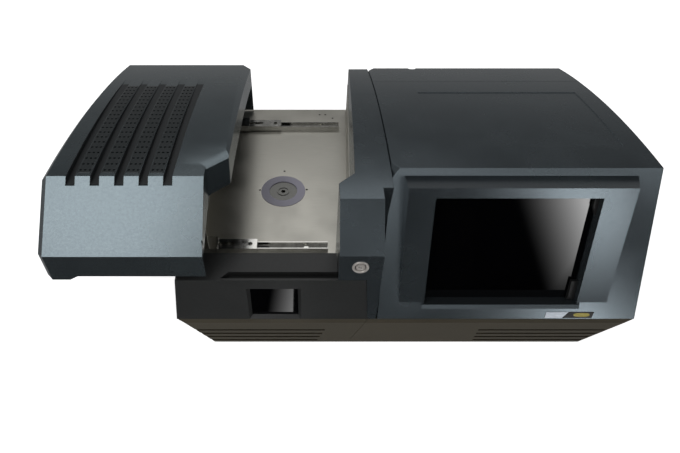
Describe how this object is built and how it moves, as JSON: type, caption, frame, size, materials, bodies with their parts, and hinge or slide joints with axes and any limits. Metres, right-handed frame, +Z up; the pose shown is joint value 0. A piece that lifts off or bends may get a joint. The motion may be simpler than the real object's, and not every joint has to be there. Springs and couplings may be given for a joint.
{
  "type": "x-ray fluorescence analyzer",
  "caption": "Bench x-ray fluorescence analyzer: grooved hood on slides over a steel sample stage, column with start button, and a housing with a tilted screen.",
  "frame": {"origin": "middle of the whole outline, hood open, at the surface that the feet stand on", "axes": "+X to the right along the front, +Y to the back, +Z up"},
  "size_m": [0.6824, 0.413, 0.2686],
  "materials": {
    "hood_paint": "satin charcoal metallic lacquer on a moulded shell",
    "housing_paint": "satin charcoal metallic lacquer on a moulded shell",
    "base_paint": "satin near-black lacquer",
    "plinth_paint": "satin brown-grey lacquer",
    "stainless": "fine brushed",
    "zinc_steel": "bright zinc plate",
    "black_screw": "black oxide",
    "white_ring": "satin white plastic",
    "aluminium": "bead blasted",
    "nickel": "turned and nickel plated",
    "black_plastic": "moulded",
    "display_glass": "polished, dark behind",
    "brass": "turned",
    "board": "solder resist on laminate",
    "rubber": "moulded"
  },
  "bodies": {
    "base": {"aperture_disc": "aluminium", "back_panel": "base_paint", "button_bezel": "nickel", "button_body": "black_plastic", "button_nut": "nickel", "camera_module": "black_plastic", "chassis_tray": "stainless", "column_cover": "housing_paint", "column_lining": "stainless", "column_rear_cap": "housing_paint", "deck_frame": "base_paint", "detector": "aluminium", "fan_frame": "black_plastic", "fan_guard": "zinc_steel", "front_deck": "base_paint", "front_panel": "base_paint", "housing_rear_cap": "housing_paint", "housing_shell": "housing_paint", "hv_supply": "aluminium", "interlock_switch": "black_plastic", "lcd_bracket": "zinc_steel", "lcd_glass": "display_glass", "lcd_module": "black_plastic", "mainboard": "board", "module_stand": "zinc_steel", "plinth_left": "plinth_paint", "plinth_right": "plinth_paint", "port_block": "zinc_steel", "power_inlet": "black_plastic", "power_supply": "aluminium", "pulse_processor": "board", "release_levers": "black_plastic", "rocker_frame": "black_plastic", "rubber_feet": "rubber", "screen_bezel": "housing_paint", "shield_block": "brass", "slide_fixed_front": "zinc_steel", "slide_fixed_rear": "zinc_steel", "slide_screws": "zinc_steel", "stage_plate": "stainless", "stage_ring": "white_ring", "stage_screws": "black_screw", "status_board": "board", "status_glass": "display_glass", "wheel_motor": "zinc_steel", "xray_tube": "brass"},
    "hood": {"hood_shell": "hood_paint", "hood_grilles": "hood_paint", "hood_liner": "stainless", "liner_screws": "zinc_steel", "interlock_magnet": "black_plastic", "slide_outer_front": "zinc_steel", "slide_outer_rear": "zinc_steel"},
    "middle_front": {"slide_middle_front": "zinc_steel"},
    "middle_rear": {"slide_middle_rear": "zinc_steel"},
    "button": {"start_button": "nickel"},
    "rocker": {"power_rocker": "black_plastic"},
    "rotor": {"fan_rotor": "black_plastic"},
    "wheel": {"filter_wheel": "aluminium"}
  },
  "joints": [
    {"name": "hood_slide", "type": "slide", "parent": "base", "child": "hood", "axis": [1, 0, 0], "range_m": [0, 0.1406]},
    {"name": "middle_front_slide", "type": "slide", "parent": "base", "child": "middle_front", "axis": [1, 0, 0], "range_m": [0, 0.0703]},
    {"name": "middle_rear_slide", "type": "slide", "parent": "base", "child": "middle_rear", "axis": [1, 0, 0], "range_m": [0, 0.0703]},
    {"name": "start_button_press", "type": "slide", "parent": "base", "child": "button", "axis": [0, 1, 0], "range_m": [0, 0.0016], "stiffness_N_per_m": 800},
    {"name": "power_rocker_tilt", "type": "hinge", "parent": "base", "child": "rocker", "pos_m": [0.1278, 0.197, 0.1384], "axis": [1, 0, 0], "range_deg": [0, 12]},
    {"name": "fan_spin", "type": "hinge", "parent": "base", "child": "rotor", "pos_m": [0.2917, 0.195, 0.1404], "axis": [0, 1, 0], "continuous": true},
    {"name": "filter_wheel_turn", "type": "hinge", "parent": "base", "child": "wheel", "pos_m": [-0.0574, 0.008, 0.103], "axis": [0, 0, 1], "continuous": true}
  ],
  "couplings": [
    {"joint": "middle_front_slide", "follows": "hood_slide", "ratio": 0.5},
    {"joint": "middle_rear_slide", "follows": "hood_slide", "ratio": 0.5}
  ]
}
